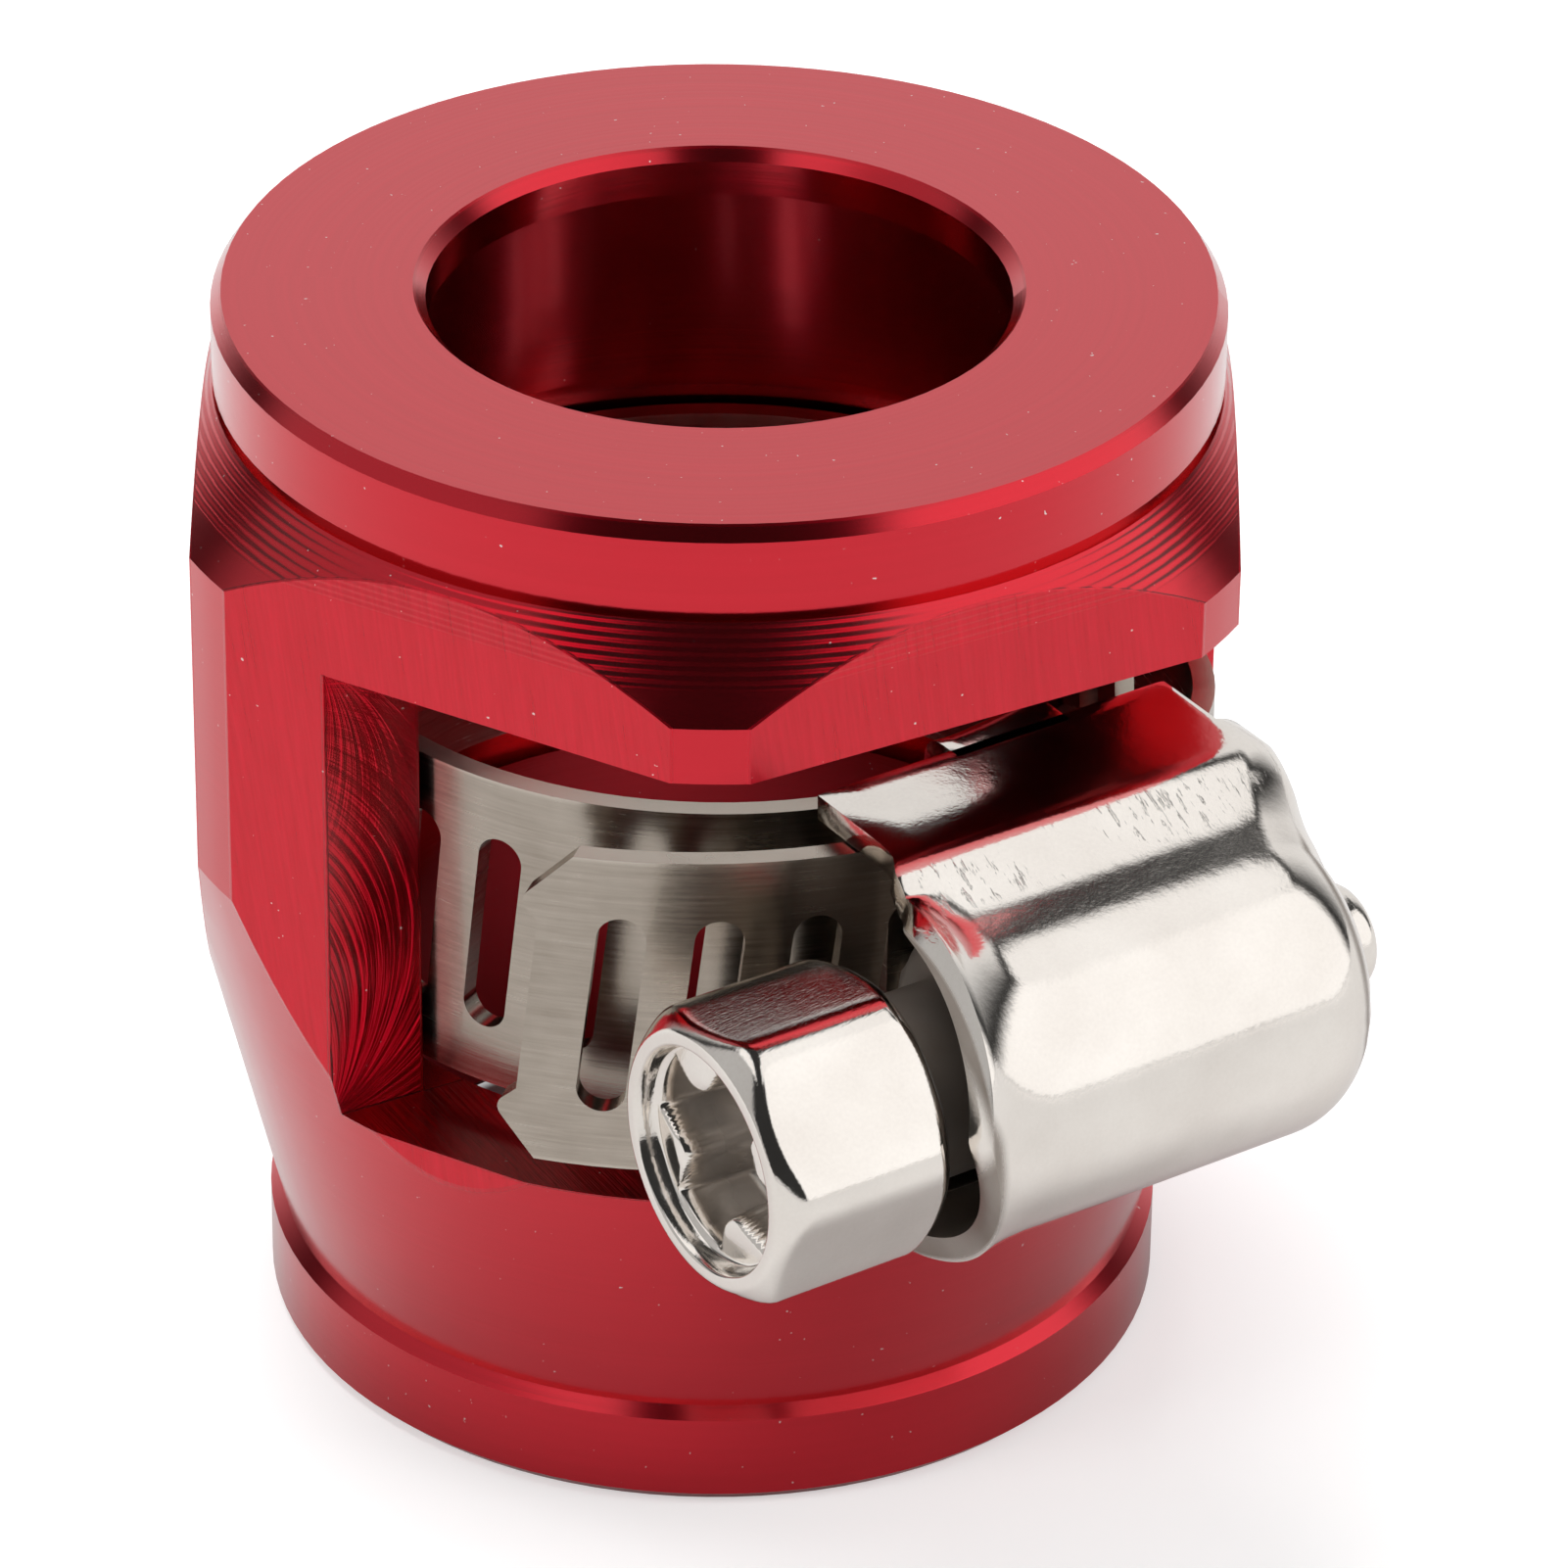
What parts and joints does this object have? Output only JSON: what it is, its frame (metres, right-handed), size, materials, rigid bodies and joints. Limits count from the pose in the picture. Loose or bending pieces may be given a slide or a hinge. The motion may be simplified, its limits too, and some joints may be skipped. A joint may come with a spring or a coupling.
{
  "type": "hose end finisher with worm drive clamp",
  "caption": "Hexagonal aluminium hose end socket with a worm drive hose clamp seated in its side window, finishing the cut end of a braided hose.",
  "frame": {"origin": "centre of the hose mouth, on the tail's end face", "axes": "+Z along the hose axis from the tail to the collar; a hexagon corner points to -Y; the clamp window faces +X and -Y"},
  "size_m": [0.0261, 0.0325, 0.0258],
  "materials": {
    "anodised_aluminium": "bright red anodised, turned and milled",
    "band_steel": "brushed stainless strip",
    "plated_steel": "bright nickel plated"
  },
  "bodies": {
    "socket": {"hose_end_socket": "anodised_aluminium"},
    "band": {"clamp_band": "band_steel"},
    "carriage": {"worm_housing": "plated_steel", "clamp_saddle": "band_steel"},
    "screw": {"worm_screw": "plated_steel"}
  },
  "joints": [
    {"name": "clamp_swivel", "type": "hinge", "parent": "socket", "child": "band", "pos_m": [0, 0, 0.01375], "axis": [0, 0, 1], "range_deg": [-10, 0]},
    {"name": "clamp_close", "type": "slide", "parent": "band", "child": "carriage", "axis": [-0.5592, 0.829, 0], "range_m": [-0.00033, 0.001], "deforming": ["clamp_band"]},
    {"name": "screw_spin", "type": "hinge", "parent": "carriage", "child": "screw", "pos_m": [0.00793, -0.01176, 0.01375], "axis": [0.829, 0.5592, 0], "range_deg": [-180, 540]}
  ],
  "couplings": [
    {"joint": "screw_spin", "follows": "clamp_close", "rad_per_m": 9399.6}
  ]
}
